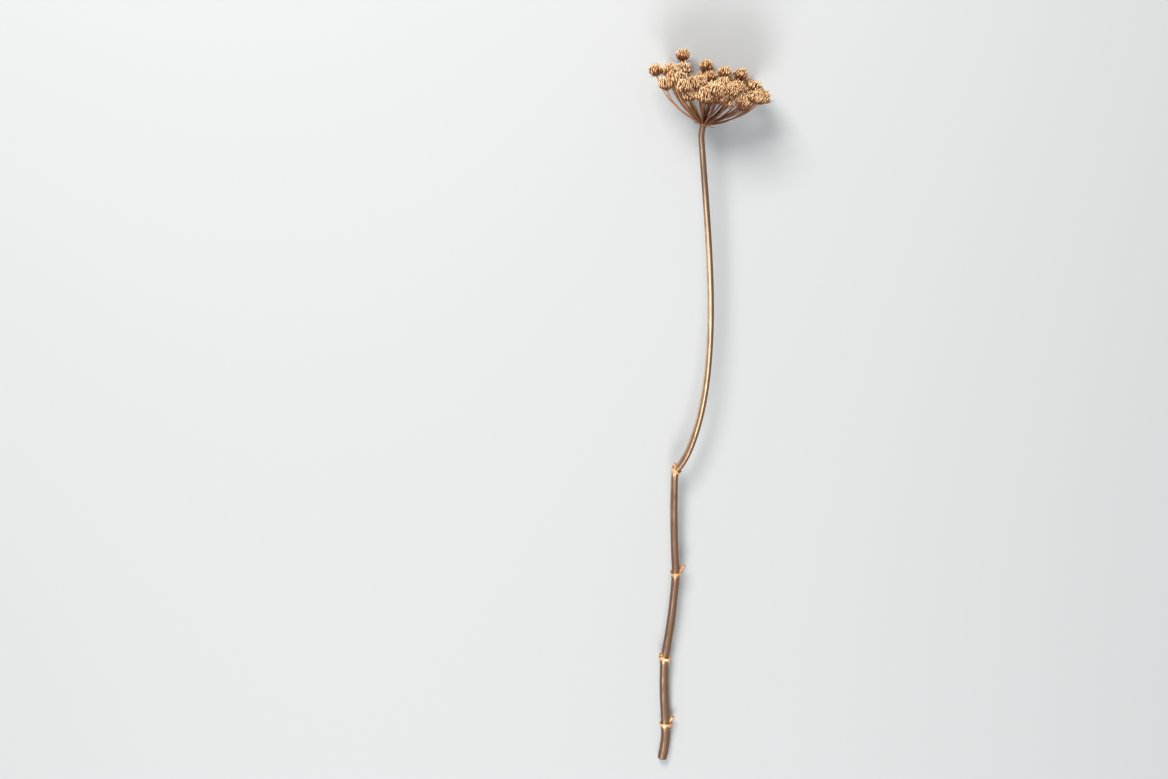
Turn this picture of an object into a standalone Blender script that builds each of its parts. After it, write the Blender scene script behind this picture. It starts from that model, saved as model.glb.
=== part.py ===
"""Queen Anne's lace: one cut, dried stem with its compound seed head, lying on a table.

Metres, +Z up. The stem lies along +Y with the head at the far end, and the table is Z = 0.
The flower rests on its cut end and on the lowest seed clusters of the head.
"""

import math

import bmesh
import bpy
import numpy as np
from mathutils import Matrix, Vector

MM = 0.001

# Where the rays of the head spring from, and the way the head faces.
HUB = np.array([-5.35, 276.06, 44.3]) * MM
HEAD_AXIS = np.array([0.206, 0.978, 0.05])

# The head: its rays, and the round seed clusters at their ends. The rise is from the hub to the
# clusters at the rim, the dish is how much lower the middle lies, and a few rays stand proud.
RAY_COUNT = 58
HEAD_RADIUS = 49.9 * MM
HEAD_RISE = 35.7 * MM
HEAD_DISH = 4.5 * MM
RISE_SCATTER = 3.5 * MM
PROUD_RAYS = {25: 7.0 * MM, 26: 4.0 * MM, 34: 4.0 * MM, 36: 17.0 * MM}
TURN_SCATTER = 0.06
CLUSTER_RADIUS = 6.49 * MM
CLUSTER_SHRINK = 0.07
CLUSTER_SCATTER = (-0.05, 0.04)
CLUSTER_GAP = 0.35 * MM
SPREAD_ROUNDS = 160
SPREAD_SHARE = 0.3

# One cluster: the share of its radius that the solid core takes, how much deeper the core's
# lower half is, and how far down and how steeply the seeds stand.
CORE_SHARE = 0.58
CORE_DEPTH = 1.4
CORE_POINTS = 25
SEED_REACH = math.radians(122)
SEED_LIFT = math.radians(22)

# The rays: how far over the outermost ones leave the hub and end, and how far their curves pull.
RAY_RADIUS = 0.68 * MM
RAY_TAPER = (1.15, 0.95)
RAY_STEPS = 5
RAY_LEAVE = math.radians(80)
RAY_LEAVE_POWER = 0.9
RAY_END = math.radians(22)
RAY_PULL_ROOT, RAY_PULL_END = 0.36, 0.34
RAY_ROOT_OUT, RAY_ROOT_ON, RAY_ROOT_SUNK = 2.4 * MM, 0.6 * MM, 0.4 * MM

# The hub, whose floor sits on the stem's top, and the bracts round it.
HUB_RADIUS = 4.4 * MM
HUB_SIDES = 12
HUB_FLOOR = 2.6 * MM
BRACT_COUNT = 7
BRACT_LENGTH = 9.0 * MM
BRACT_SHORTEST = 0.65
BRACT_RADIUS = 0.42 * MM
BRACT_TAPER = (1.0, 0.7)
BRACT_SUNK = 1.6 * MM

# The rule that scatters the clusters.
GOLDEN_ANGLE = math.radians(137.50776)
SEED = 13946
FIRST_TURN = 5.43

# The stem, from its cut end up to the head. Its last stretch, past the top joint, is bowed. The bow
# leaves the joint steeply, so that stretch starts far enough on for its walls not to cross.
CUT_END = np.array([-38.65, -340.24]) * MM
JOINTS_FROM_CUT = (36.0 * MM, 102.5 * MM, 188.0 * MM, 289.5 * MM)
JOINT_SIDESTEPS = (1.5 * MM, -3.5 * MM, 2.0 * MM, -5.5 * MM)
TOP_BOW = 23.0 * MM
TOP_SKEW = 0.65
TOP_ARCH = 5.0 * MM
TOP_START = 6.0 * MM
TOP_STEPS = 14
LOW_BOW = 1.2 * MM
LOW_ARCH = 0.4 * MM
LOW_STEPS = 3
FOOT_RADIUS = 4.6 * MM
WAIST_AT, WAIST_SHARE = 0.45, 0.76
NECK_RADIUS = 2.75 * MM
NECK_LENGTH = 8.0 * MM
NECK_STEP = 3.5 * MM
NECK_SWELL = 1.04
RIB_COUNT = 10
RIB_DEPTH = 0.07

# A joint: how far before it the stem starts to swell and past it the next stretch starts, how
# much thinner that stretch is, and (distance before the joint, swelling) up to its collar.
JOINT_BEFORE = 6.0 * MM
JOINT_AFTER = 1.4 * MM
STEP_IN = 0.97
COLLAR = ((2.6 * MM, 1.14), (1.0 * MM, 1.36), (0.0, 1.26), (-0.5 * MM, 1.0))

# The stubs of the side branches cut away, one at each joint, on alternate sides.
STUB_LEAN = math.radians(38)
STUB_LENGTHS = (7.5 * MM, 4.5 * MM, 9.0 * MM, 5.5 * MM)
STUB_SHARE = 0.42
STUB_SIDE = 0.9
STUB_RISES = (0.25, 0.55)
STUB_SUNK = 1.2 * MM
STUB_OUT = 0.35
STUB_TAPER = (1.15, 1.0, 1.08)
SEAT_GAP = 0.3 * MM
SMOOTH_ANGLE = math.radians(40)

GOLD = (0.62, 0.38, 0.19)
BRONZE = (0.36, 0.21, 0.11)


def clear_scene():
    for old in list(bpy.data.objects):
        bpy.data.objects.remove(old, do_unlink=True)


def new_collection(name):
    made = bpy.data.collections.new(name)
    bpy.context.scene.collection.children.link(made)
    return made


def metal_paint(name, colour, roughness):
    """Metallic spray paint over a dried plant."""
    material = bpy.data.materials.new(name)
    material.use_nodes = True
    shader = material.node_tree.nodes["Principled BSDF"]
    shader.inputs["Base Color"].default_value = (*colour, 1.0)
    shader.inputs["Metallic"].default_value = 0.9
    shader.inputs["Roughness"].default_value = roughness
    return material


def smooth(mesh):
    """Smooth shading, with edges kept where the faces turn sharply."""
    mesh.shade_smooth()
    mesh.set_sharp_from_angle(angle=SMOOTH_ANGLE)


def unit(vector):
    return vector / np.linalg.norm(vector)


def head_frame():
    """The head's axis, and two directions across it: one level, and one that points up."""
    axis = unit(HEAD_AXIS)
    level = unit(np.cross(axis, (0.0, 0.0, 1.0)))
    return level, np.cross(level, axis), axis


def cluster_places():
    """Centre, radius, share of the head's radius and turn of each seed cluster.

    The clusters start on a sunflower spiral over a shallow dish. They are then pushed apart
    until none touches its neighbours, and up until none dips under the table.
    """
    draw = np.random.default_rng(SEED)
    index = np.arange(RAY_COUNT)
    share = np.sqrt((index + 0.5) / RAY_COUNT)
    turn = FIRST_TURN + index * GOLDEN_ANGLE + draw.normal(0.0, TURN_SCATTER, RAY_COUNT)
    radius = CLUSTER_RADIUS * (1.0 - CLUSTER_SHRINK * (1.0 - share))
    radius *= 1.0 + draw.uniform(*CLUSTER_SCATTER, RAY_COUNT)
    rise = HEAD_RISE - HEAD_DISH * (1.0 - share**2) + draw.normal(0.0, RISE_SCATTER, RAY_COUNT)
    for ray, proud in PROUD_RAYS.items():
        rise[ray] += proud
    level, up, axis = head_frame()
    out = np.outer(np.cos(turn), level) + np.outer(np.sin(turn), up)
    centre = HUB + out * (HEAD_RADIUS * share)[:, None] + np.outer(rise, axis)
    room = radius[:, None] + radius[None, :] + CLUSTER_GAP
    for _ in range(SPREAD_ROUNDS):
        apart = centre[:, None] - centre[None, :]
        far = np.linalg.norm(apart, axis=2) + np.eye(RAY_COUNT)
        push = np.clip(room - far, 0.0, None) * (1.0 - np.eye(RAY_COUNT))
        moved = (apart / far[:, :, None] * push[:, :, None]).sum(axis=1)
        centre = centre + SPREAD_SHARE * moved
        centre[:, 2] = np.maximum(centre[:, 2], radius)
    return centre, radius, share, turn


def ray_directions(share, turn):
    """The way each ray leaves the hub, and the way its end points."""
    level, up, axis = head_frame()
    out = np.outer(np.cos(turn), level) + np.outer(np.sin(turn), up)
    leave = RAY_LEAVE * share**RAY_LEAVE_POWER
    end = RAY_END * share
    leaving = out * np.sin(leave)[:, None] + np.outer(np.cos(leave), axis)
    ending = out * np.sin(end)[:, None] + np.outer(np.cos(end), axis)
    return leaving, ending


def bezier(start, first, second, end, steps):
    """Points along a cubic curve between two ends, drawn towards two handles."""
    t = np.linspace(0.0, 1.0, steps + 1)[:, None]
    s = 1.0 - t
    return start * s**3 + 3 * first * s * s * t + 3 * second * s * t * t + end * t**3


def curve_tube(name, points, radii, resolution=0, profile=None):
    """A poly curve through the points, swept with a round or a given section and closed."""
    data = bpy.data.curves.new(name, "CURVE")
    data.dimensions = "3D"
    data.use_fill_caps = True
    if profile is None:
        data.bevel_depth = 1.0
        data.bevel_resolution = resolution
    else:
        data.bevel_mode = "OBJECT"
        data.bevel_object = profile
    spline = data.splines.new("POLY")
    spline.points.add(len(points) - 1)
    for place, point, radius in zip(spline.points, points, radii):
        place.co = (*point, 1.0)
        place.radius = radius
    tube = bpy.data.objects.new(name, data)
    bpy.context.scene.collection.objects.link(tube)
    return tube


def as_mesh(curve, collection):
    """The curve's evaluated mesh as an object of its own, its caps welded. The curve goes."""
    bpy.context.view_layer.update()
    evaluated = curve.evaluated_get(bpy.context.evaluated_depsgraph_get())
    mesh = bpy.data.meshes.new_from_object(evaluated)
    solid = bmesh.new()
    solid.from_mesh(mesh)
    bmesh.ops.remove_doubles(solid, verts=solid.verts, dist=1e-6)
    bmesh.ops.recalc_face_normals(solid, faces=solid.faces)
    solid.to_mesh(mesh)
    solid.free()
    name, place = curve.name, curve.matrix_world.copy()
    bpy.data.objects.remove(curve, do_unlink=True)
    made = bpy.data.objects.new(name, mesh)
    made.matrix_world = place
    collection.objects.link(made)
    return made


def seed_cluster(name, centre, radius, axis, twist, collection):
    """A cup-shaped core with three-sided seeds raised from its faces, all but those by the ray.

    Each seed's tip stands on a ball of the cluster's radius, lifted a little towards its top.
    """
    index = np.arange(CORE_POINTS)
    height = 1.0 - 2.0 * (index + 0.5) / CORE_POINTS
    around = index * GOLDEN_ANGLE + twist
    flat = np.sqrt(1.0 - height**2)
    deep = np.where(height < 0.0, CORE_DEPTH * height, height)
    points = np.stack([flat * np.cos(around), flat * np.sin(around), deep], axis=1)
    core = bmesh.new()
    for point in points:
        core.verts.new(Vector(point * CORE_SHARE))
    bmesh.ops.convex_hull(core, input=core.verts)
    low = math.cos(SEED_REACH)
    seeded = [f for f in core.faces if f.calc_center_median().normalized().z > low]
    poked = bmesh.ops.poke(core, faces=seeded)
    for tip in poked["verts"]:
        way = tip.co.normalized()
        down = math.acos(way.z)
        lift = down - SEED_LIFT * math.sin(down)
        level = Vector((way.x, way.y, 0.0)).normalized()
        tip.co = level * math.sin(lift) + Vector((0.0, 0.0, math.cos(lift)))
    bmesh.ops.recalc_face_normals(core, faces=core.faces)
    turn = Vector(axis).to_track_quat("Z", "Y").to_matrix().to_4x4()
    core.transform(Matrix.Translation(Vector(centre)) @ turn @ Matrix.Scale(radius, 4))
    mesh = bpy.data.meshes.new(name)
    core.to_mesh(mesh)
    core.free()
    made = bpy.data.objects.new(name, mesh)
    collection.objects.link(made)
    return made


def turned(name, profile, steps, collection):
    """A profile of (radius, height) points, top to bottom, spun about Z."""
    mesh = bpy.data.meshes.new(name)
    points = [(r, 0.0, z) for r, z in profile]
    mesh.from_pydata(points, [(i, i + 1) for i in range(len(points) - 1)], [])
    made = bpy.data.objects.new(name, mesh)
    collection.objects.link(made)
    screw = made.modifiers.new("Turn", "SCREW")
    screw.steps = steps
    screw.render_steps = steps
    screw.use_merge_vertices = True
    screw.merge_threshold = 1e-6
    screw.use_normal_calculate = True
    return made


def join_all(base, collection, solver):
    """Fuses everything in the collection into the base, and removes the collection's objects."""
    union = base.modifiers.new("Fuse", "BOOLEAN")
    union.operation = "UNION"
    union.operand_type = "COLLECTION"
    union.collection = collection
    union.solver = solver
    bpy.context.view_layer.update()
    fused = bpy.data.meshes.new_from_object(
        base.evaluated_get(bpy.context.evaluated_depsgraph_get())
    )
    base.modifiers.clear()
    base.data = fused
    for used in list(collection.objects):
        bpy.data.objects.remove(used, do_unlink=True)


def build_head(parts, paint):
    """The hub, its rays, the seed clusters and the thread-like bracts, fused into one solid."""
    loose = new_collection("head_pieces")
    centre, radius, share, turn = cluster_places()
    leaving, ending = ray_directions(share, turn)
    level, up, axis = head_frame()
    profile = (
        (0.0, 2.0 * MM),
        (2.6 * MM, 1.7 * MM),
        (HUB_RADIUS, 0.3 * MM),
        (HUB_RADIUS, -0.8 * MM),
        (NECK_RADIUS, -HUB_FLOOR),
        (0.0, -HUB_FLOOR),
    )
    hub = turned("umbel", profile, HUB_SIDES, parts)
    hub.rotation_mode = "QUATERNION"
    hub.rotation_quaternion = Vector(axis).to_track_quat("Z", "Y")
    hub.location = HUB
    for i in range(RAY_COUNT):
        cluster = seed_cluster(
            f"cluster_{i}", centre[i], radius[i], ending[i], turn[i] * 1.7, loose
        )
        lowest = min(v.co.z for v in cluster.data.vertices)
        if centre[i][2] - radius[i] < CLUSTER_GAP:
            cluster.data.transform(Matrix.Translation((0.0, 0.0, -lowest)))
            centre[i][2] -= lowest
        out = leaving[i] - axis * np.dot(leaving[i], axis)
        start = HUB + out * RAY_ROOT_OUT + leaving[i] * RAY_ROOT_ON - axis * RAY_ROOT_SUNK
        reach = np.linalg.norm(centre[i] - start)
        line = bezier(
            start,
            start + leaving[i] * RAY_PULL_ROOT * reach,
            centre[i] - ending[i] * RAY_PULL_END * reach,
            centre[i],
            RAY_STEPS,
        )
        thickness = np.linspace(*RAY_TAPER, RAY_STEPS + 1) * RAY_RADIUS
        as_mesh(curve_tube(f"ray_{i}", line, thickness), loose)
    for i in range(BRACT_COUNT):
        around = 2.0 * math.pi * (i + 0.3) / BRACT_COUNT
        out = math.cos(around) * level + math.sin(around) * up
        start = HUB + out * (HUB_RADIUS - BRACT_SUNK) - axis * 0.5 * BRACT_SUNK
        shorter = (1.0 - BRACT_SHORTEST) * ((i * 3) % BRACT_COUNT) / BRACT_COUNT
        length = BRACT_LENGTH * (1.0 - shorter)
        bend = start + out * 0.55 * length - axis * 0.12 * length
        line = bezier(start, start + out * 0.3 * length, bend, start + out * 0.95 * length, 3)
        thickness = np.linspace(*BRACT_TAPER, 4) * BRACT_RADIUS
        as_mesh(curve_tube(f"bract_{i}", line, thickness), loose)
    join_all(hub, loose, "MANIFOLD")
    smooth(hub.data)
    hub.data.materials.clear()
    hub.data.materials.append(paint)


def stem_line():
    """Points and radii up the stem: a kink, a swelling and a ledge at each joint, then the neck."""
    level, up, axis = head_frame()
    top = HUB - axis * (HUB_FLOOR + SEAT_GAP)
    foot = np.array([CUT_END[0], CUT_END[1], FOOT_RADIUS])
    length = np.linalg.norm(top - foot)
    along = (top - foot) / length
    across = unit(np.cross(along, (0.0, 0.0, 1.0)))
    knots = [foot]
    for distance, step in zip(JOINTS_FROM_CUT, JOINT_SIDESTEPS):
        knots.append(foot + along * distance + across * step)
    knots.append(top - axis * NECK_LENGTH)
    points, radii = [], []
    thickness = np.interp(
        [0.0, *JOINTS_FROM_CUT, length],
        (0.0, WAIST_AT * length, length),
        (FOOT_RADIUS, WAIST_SHARE * FOOT_RADIUS, NECK_RADIUS),
    )
    for n, (low, high) in enumerate(zip(knots[:-1], knots[1:])):
        last = n == len(knots) - 2
        span = np.linalg.norm(high - low)
        shares = np.linspace(0.0, 1.0, (TOP_STEPS if last else LOW_STEPS) + 1)
        if n > 0:
            shares[0] = (TOP_START if last else JOINT_AFTER) / span
        shares[-1] = 1.0 - (NECK_STEP if last else JOINT_BEFORE) / span
        bow, arch = (TOP_BOW, TOP_ARCH) if last else (LOW_BOW * (-1) ** n, LOW_ARCH)
        for share in shares:
            bulge = math.sin(math.pi * share ** (TOP_SKEW if last else 1.0))
            points.append(low + (high - low) * share + across * bow * bulge + up * arch * bulge)
            slim = STEP_IN if n > 0 else 1.0
            radii.append(slim * ((1.0 - share) * thickness[n] + share * thickness[n + 1]))
        if not last:
            way = (high - low) / span
            for back, swell in COLLAR:
                points.append(high - way * back)
                radii.append(thickness[n + 1] * swell)
    points += [knots[-1] + axis * NECK_STEP, top]
    radii += [NECK_RADIUS, NECK_RADIUS * NECK_SWELL]
    return np.array(points), np.array(radii), knots, thickness


def rib_section(cutters):
    """The stem's cross-section: a unit circle with shallow ribs, as a guide curve."""
    data = bpy.data.curves.new("rib_section", "CURVE")
    data.dimensions = "2D"
    spline = data.splines.new("POLY")
    count = 2 * RIB_COUNT
    spline.points.add(count - 1)
    for i, place in enumerate(spline.points):
        reach = 1.0 - RIB_DEPTH * (i % 2)
        around = 2.0 * math.pi * i / count
        place.co = (reach * math.cos(around), reach * math.sin(around), 0.0, 1.0)
    spline.use_cyclic_u = True
    guide = bpy.data.objects.new("rib_section", data)
    guide.hide_render = True
    guide.display_type = "WIRE"
    cutters.objects.link(guide)
    return guide


def build_stem(parts, cutters, paint):
    """The ribbed stem with the stubs of its cut side branches, fused into one solid."""
    loose = new_collection("stem_pieces")
    points, radii, knots, thickness = stem_line()
    stem = as_mesh(curve_tube("stem", points, radii, profile=rib_section(cutters)), parts)
    for i, knot in enumerate(knots[1:-1]):
        way = unit(knots[i + 2] - knot)
        side = unit(np.cross(way, (0.0, 0.0, 1.0))) * (-1) ** i
        lean = unit(side * STUB_SIDE + np.array([0.0, 0.0, STUB_RISES[i % 2]]))
        stub_way = way * math.cos(STUB_LEAN) + lean * math.sin(STUB_LEAN)
        thick = thickness[i + 1] * STUB_SHARE
        start = knot - way * STUB_SUNK + lean * STUB_OUT * thickness[i + 1]
        end = start + stub_way * (STUB_LENGTHS[i] + 2.0 * MM)
        line = np.array([start, start + 0.55 * (end - start), end])
        as_mesh(curve_tube(f"stub_{i}", line, thick * np.array(STUB_TAPER), 1), loose)
    join_all(stem, loose, "MANIFOLD")
    smooth(stem.data)
    stem.data.materials.clear()
    stem.data.materials.append(paint)


def main():
    clear_scene()
    parts = new_collection("queen_annes_lace")
    cutters = new_collection("guides")
    build_head(parts, metal_paint("gold paint", GOLD, 0.36))
    build_stem(parts, cutters, metal_paint("bronze paint", BRONZE, 0.4))


main()
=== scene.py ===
"""Queen Anne's lace: one cut, dried stem with its seed head, sprayed gold, on a pale floor."""

import math

import bpy
import numpy as np
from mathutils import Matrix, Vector


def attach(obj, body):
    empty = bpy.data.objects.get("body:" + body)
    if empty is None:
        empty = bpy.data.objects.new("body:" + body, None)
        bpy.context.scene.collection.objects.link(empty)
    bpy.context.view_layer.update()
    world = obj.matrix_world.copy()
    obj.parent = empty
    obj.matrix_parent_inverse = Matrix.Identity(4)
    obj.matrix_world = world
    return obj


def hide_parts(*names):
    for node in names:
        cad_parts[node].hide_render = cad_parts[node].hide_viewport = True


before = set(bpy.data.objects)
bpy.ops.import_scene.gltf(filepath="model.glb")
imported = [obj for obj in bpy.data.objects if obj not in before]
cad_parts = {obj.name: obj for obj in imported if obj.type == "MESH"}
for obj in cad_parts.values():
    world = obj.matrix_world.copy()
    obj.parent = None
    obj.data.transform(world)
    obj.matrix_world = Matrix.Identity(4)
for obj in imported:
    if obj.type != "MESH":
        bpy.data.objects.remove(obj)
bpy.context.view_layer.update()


# The stalk: one dried, finely ribbed stem, cut through at its foot, that kinks and swells at four
# joints. Metallic spray paint lies thickest on its upper half, in lengthwise streaks that are
# partly painted highlight. The brown plant shows through towards the foot, and the stalk is
# darker again just under the head.

# The places and main sizes are the same as the CAD stem's.
MM = 0.001
UP = np.array([0.0, 0.0, 1.0])
HUB = np.array([-5.35, 276.06, 44.3]) * MM
HUB_FLOOR = 2.6 * MM
HEAD_AXIS = np.array([0.206, 0.978, 0.05])
CUT_END = np.array([-38.65, -340.24]) * MM
JOINTS_FROM_CUT = np.array([36.0, 102.5, 188.0, 289.5]) * MM
JOINT_SIDESTEPS = np.array([1.5, -3.5, 2.0, -5.5]) * MM
JOINT_COUNT = len(JOINTS_FROM_CUT)
TOP_BOW, TOP_ARCH, TOP_SKEW = 23.0 * MM, 5.0 * MM, 0.65
LOW_BOW, LOW_ARCH = 1.2 * MM, 0.4 * MM
FOOT_RADIUS, NECK_RADIUS, NECK_LENGTH = 4.6 * MM, 2.75 * MM, 8.0 * MM
WAIST_AT, WAIST_SHARE = 0.45, 0.76
STALK_STEP, ROUNDED_OVER, STALK_SIDES = 1.2 * MM, 7, 60


def unit(vectors):
    """Each vector divided by its length."""
    return vectors / np.linalg.norm(vectors, axis=-1, keepdims=True)


head_axis = unit(HEAD_AXIS)
head_level = unit(np.cross(head_axis, UP))
head_up = np.cross(head_level, head_axis)


def turns(count):
    """Angles of a number of places, evenly spaced round a ring."""
    return 2.0 * math.pi * np.arange(count) / count


def unit_circle(angle):
    """Points on a flat circle of radius 1, where a ripple closes on itself."""
    return np.stack([np.cos(angle), np.sin(angle), 0.0 * angle], axis=1)


def ripple(places, size, seed):
    """Smooth chance between about -2 and 2: half the sum of eight sine waves in chance directions.

    Each wave is sin(k . p / size + phase), with k and the phase drawn from the seed.
    """
    draw = np.random.default_rng(seed)
    waves = draw.normal(size=(8, 3)) / size
    phases = draw.uniform(0.0, 2.0 * math.pi, 8)
    return np.sin(places @ waves.T + phases).sum(axis=-1) / 2.0


def carry(paths, reach, sides, hint):
    """Rings of points carried along paths, as an array of path, ring, side and coordinate.

    Side k of a ring stands at the path's point plus reach * (cos(a) * side + sin(a) * other), with
    a = 2 pi k / sides. side is the hint made square to the path, and other is square to both.
    """
    along = unit(np.gradient(paths, axis=1))
    side = unit(hint - (hint * along).sum(axis=-1, keepdims=True) * along)
    other = np.cross(along, side)
    cos, sin = np.cos(turns(sides))[:, None], np.sin(turns(sides))[:, None]
    spokes = side[:, :, None] * cos + other[:, :, None] * sin
    return paths[:, :, None] + spokes * np.broadcast_to(reach[..., None], spokes.shape)


def skin(name, rings, values, material, node):
    """A piece made of closed tubes: quads between neighbouring rings, and a fan over each end.

    values holds numbers or vectors that fit the rings' points, by attribute name. A fan's middle is
    the mean of its ring, and takes the ring's mean value.
    """
    count, rows, sides = rings.shape[:3]

    def with_ends(array):
        flat = array.reshape(count, rows * sides, -1)
        first = flat[:, :sides].mean(1, keepdims=True)
        last = flat[:, -sides:].mean(1, keepdims=True)
        return np.concatenate([flat, first, last], axis=1).reshape(count * (rows * sides + 2), -1)

    row, col = (g.ravel() for g in np.mgrid[0 : rows - 1, 0:sides])
    after = (col + 1) % sides
    quads = np.stack([row, row, row + 1, row + 1]) * sides + np.stack([col, after, after, col])
    spoke = np.arange(sides)
    turn = (spoke + 1) % sides
    last = (rows - 1) * sides
    first_fan = np.stack([np.full(sides, rows * sides), turn, spoke])
    last_fan = np.stack([np.full(sides, rows * sides + 1), last + spoke, last + turn])
    start = np.arange(count) * (rows * sides + 2)
    faces = [
        (start[:, None, None] + block.T[None]).reshape(-1, block.shape[0]).tolist()
        for block in (quads, np.concatenate([first_fan, last_fan], axis=1))
    ]
    mesh = bpy.data.meshes.new(name)
    mesh.from_pydata(with_ends(rings), [], faces[0] + faces[1])
    for key, array in values.items():
        wide = np.ndim(array) == rings.ndim
        layer = mesh.attributes.new(key, "FLOAT_VECTOR" if wide else "FLOAT", "POINT")
        full = np.broadcast_to(array, rings.shape if wide else rings.shape[:3])
        layer.data.foreach_set("vector" if wide else "value", with_ends(full).ravel())
    mesh.polygons.foreach_set("use_smooth", np.full(len(mesh.polygons), True))
    mesh.materials.append(material)
    piece = bpy.data.objects.new(name, mesh)
    bpy.context.scene.collection.objects.link(piece)
    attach(piece, "root")
    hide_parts(node)


class Wire:
    """One output of a shader node. Operators add Math nodes, and node adds any other kind."""

    def __init__(self, tree, socket=None):
        self.tree = tree
        self.socket = socket

    def node(self, kind, settings, sockets, output=0):
        """A new node: its settings are set first, then the values or links of its sockets."""
        made = self.tree.nodes.new("ShaderNode" + kind)
        for key, value in settings.items():
            if key == "stops":
                ramp = made.color_ramp.elements
                ramp[0].position, ramp[0].color = value[0][0], (*value[0][1], 1.0)
                ramp[1].position, ramp[1].color = value[-1][0], (*value[-1][1], 1.0)
                for place, colour in value[1:-1]:
                    ramp.new(place).color = (*colour, 1.0)
            else:
                setattr(made, key, value)
        self.feed(made, sockets)
        return Wire(self.tree, made.outputs[output])

    def feed(self, node, sockets):
        """Sets each named socket of a node to a value, or links a wire to it."""
        for key, value in sockets.items():
            if isinstance(value, Wire):
                self.tree.links.new(value.socket, node.inputs[key])
            else:
                node.inputs[key].default_value = value

    def math(self, operation, first, second, clamp=False):
        """A Math node on two numbers or wires."""
        settings = {"operation": operation, "use_clamp": clamp}
        return self.node("Math", settings, {0: first, 1: second})

    def clipped(self):
        """The same number, held between 0 and 1."""
        return self.math("ADD", self, 0.0, clamp=True)

    def __add__(self, other):
        return self.math("ADD", self, other)

    def __sub__(self, other):
        return self.math("SUBTRACT", self, other)

    def __rsub__(self, other):
        return self.math("SUBTRACT", other, self)

    def __mul__(self, other):
        return self.math("MULTIPLY", self, other)

    __radd__ = __add__
    __rmul__ = __mul__


def new_material(name):
    """A node material, its tree as a Wire to build on, and its shader node."""
    material = bpy.data.materials.new(name)
    material.use_nodes = True
    return material, Wire(material.node_tree), material.node_tree.nodes["Principled BSDF"]


BLOTCH_SCALE, BLOTCHES = 70.0, 0.55
SPECK_SCALE, SPECKS, SPECK_RELIEF = 1100.0, 0.5, 0.5
GROOVE_SCALE, GROOVE_STRETCH, GROOVE_RELIEF = 1500.0, 0.035, 1.5
PAINT_STOPS = (0.12, 0.5, 0.92)
BARE_METAL, PAINT_METAL = 0.25, 0.9
BARE_ROUGHNESS, ROUGH_SPECKS = 0.62, 0.12
BUMP_HEIGHT = 0.15 * MM


def painted(name, colours, dull, relief, grain=0.0):
    """Metallic spray paint over a dried plant.

    The thickness of the paint is the point's own cover, plus a blotch and a fine speckle of noise.
    It runs through three colours, from bare plant over thin paint to thick paint, and sets how
    metallic and how rough the surface is: dull is the roughness of thick paint, and relief the
    strength of the bumps. grain adds grooves along the stalk.
    """
    material, wires, shader = new_material(name)
    where = wires.node("TexCoord", {}, {}, output=3)
    laid = wires.node("Attribute", {"attribute_name": "cover"}, {}, output=2)
    blotch = wires.node("TexNoise", {}, {"Vector": where, "Scale": BLOTCH_SCALE, "Detail": 3.0})
    speck = wires.node("TexNoise", {}, {"Vector": where, "Scale": SPECK_SCALE, "Detail": 2.0})
    thick = laid + (blotch - 0.5) * BLOTCHES + (speck - 0.5) * SPECKS
    height = speck
    if grain:
        straight = wires.node("Attribute", {"attribute_name": "straight"}, {}, output=1)
        drawn_out = {"Vector": straight, "Scale": (1.0, 1.0, GROOVE_STRETCH)}
        stretched = wires.node("Mapping", {}, drawn_out)
        fine = {"Vector": stretched, "Scale": GROOVE_SCALE, "Detail": 3.0}
        groove = wires.node("TexNoise", {}, fine)
        thick = thick + (groove - 0.5) * grain
        height = groove * GROOVE_RELIEF + speck * SPECK_RELIEF
    thick = thick.clipped()
    colour = wires.node("ValToRGB", {"stops": list(zip(PAINT_STOPS, colours))}, {0: thick})
    bump = {"Height": height, "Strength": relief, "Distance": BUMP_HEIGHT}
    metal = (thick * (1.0 - BARE_METAL) + BARE_METAL).clipped() * PAINT_METAL
    rough = BARE_ROUGHNESS - thick * (BARE_ROUGHNESS - dull) + (speck - 0.5) * ROUGH_SPECKS
    normal = wires.node("Bump", {}, bump)
    wires.feed(
        shader,
        {"Base Color": colour, "Metallic": metal, "Roughness": rough, "Normal": normal},
    )
    return material


def stalk_path():
    """Points up the stalk's middle, their distances along it, and the joints' distances.

    Between two joints, low + (high - low) * s + (across * bow + up * arch) * sin(pi * s ** skew).
    A running mean over seven points rounds the kinks. The straight neck lies on the head's axis.
    """
    top = HUB - head_axis * HUB_FLOOR
    foot = np.array([*CUT_END, FOOT_RADIUS])
    along = unit(top - foot)
    across = unit(np.cross(along, UP))
    joints = foot + np.outer(JOINTS_FROM_CUT, along) + np.outer(JOINT_SIDESTEPS, across)
    knots = np.concatenate([[foot], joints, [top - head_axis * NECK_LENGTH], [top]])
    bends = [(LOW_BOW * (-1) ** n, LOW_ARCH, 1.0) for n in range(JOINT_COUNT)]
    bends += [(TOP_BOW, TOP_ARCH, TOP_SKEW), (0.0, 0.0, 1.0)]
    runs = []
    for low, high, (bow, arch, skew) in zip(knots[:-1], knots[1:], bends):
        steps = round(np.linalg.norm(high - low) / STALK_STEP)
        s = np.linspace(0.0, 1.0, steps, endpoint=False)[:, None]
        swing = np.sin(math.pi * s**skew)
        runs.append(low + (high - low) * s + (across * bow + head_up * arch) * swing)
    line = np.concatenate([*runs, [top]])
    beyond = ROUNDED_OVER // 2
    padded = np.pad(line, ((beyond, beyond), (0, 0)), mode="reflect", reflect_type="odd")
    line = np.mean([padded[k : k + len(line)] for k in range(ROUNDED_OVER)], axis=0)
    distance = np.concatenate([[0.0], np.linalg.norm(np.diff(line, axis=0), axis=1).cumsum()])
    marks = np.cumsum([len(run) for run in runs])[:JOINT_COUNT]
    return line, distance, distance[marks]


stalk_line, stalk_distance, joint_distance = stalk_path()
stalk_length = stalk_distance[-1]
stalk_along = unit(np.gradient(stalk_line, axis=0))
stalk_angle = turns(STALK_SIDES)


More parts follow.
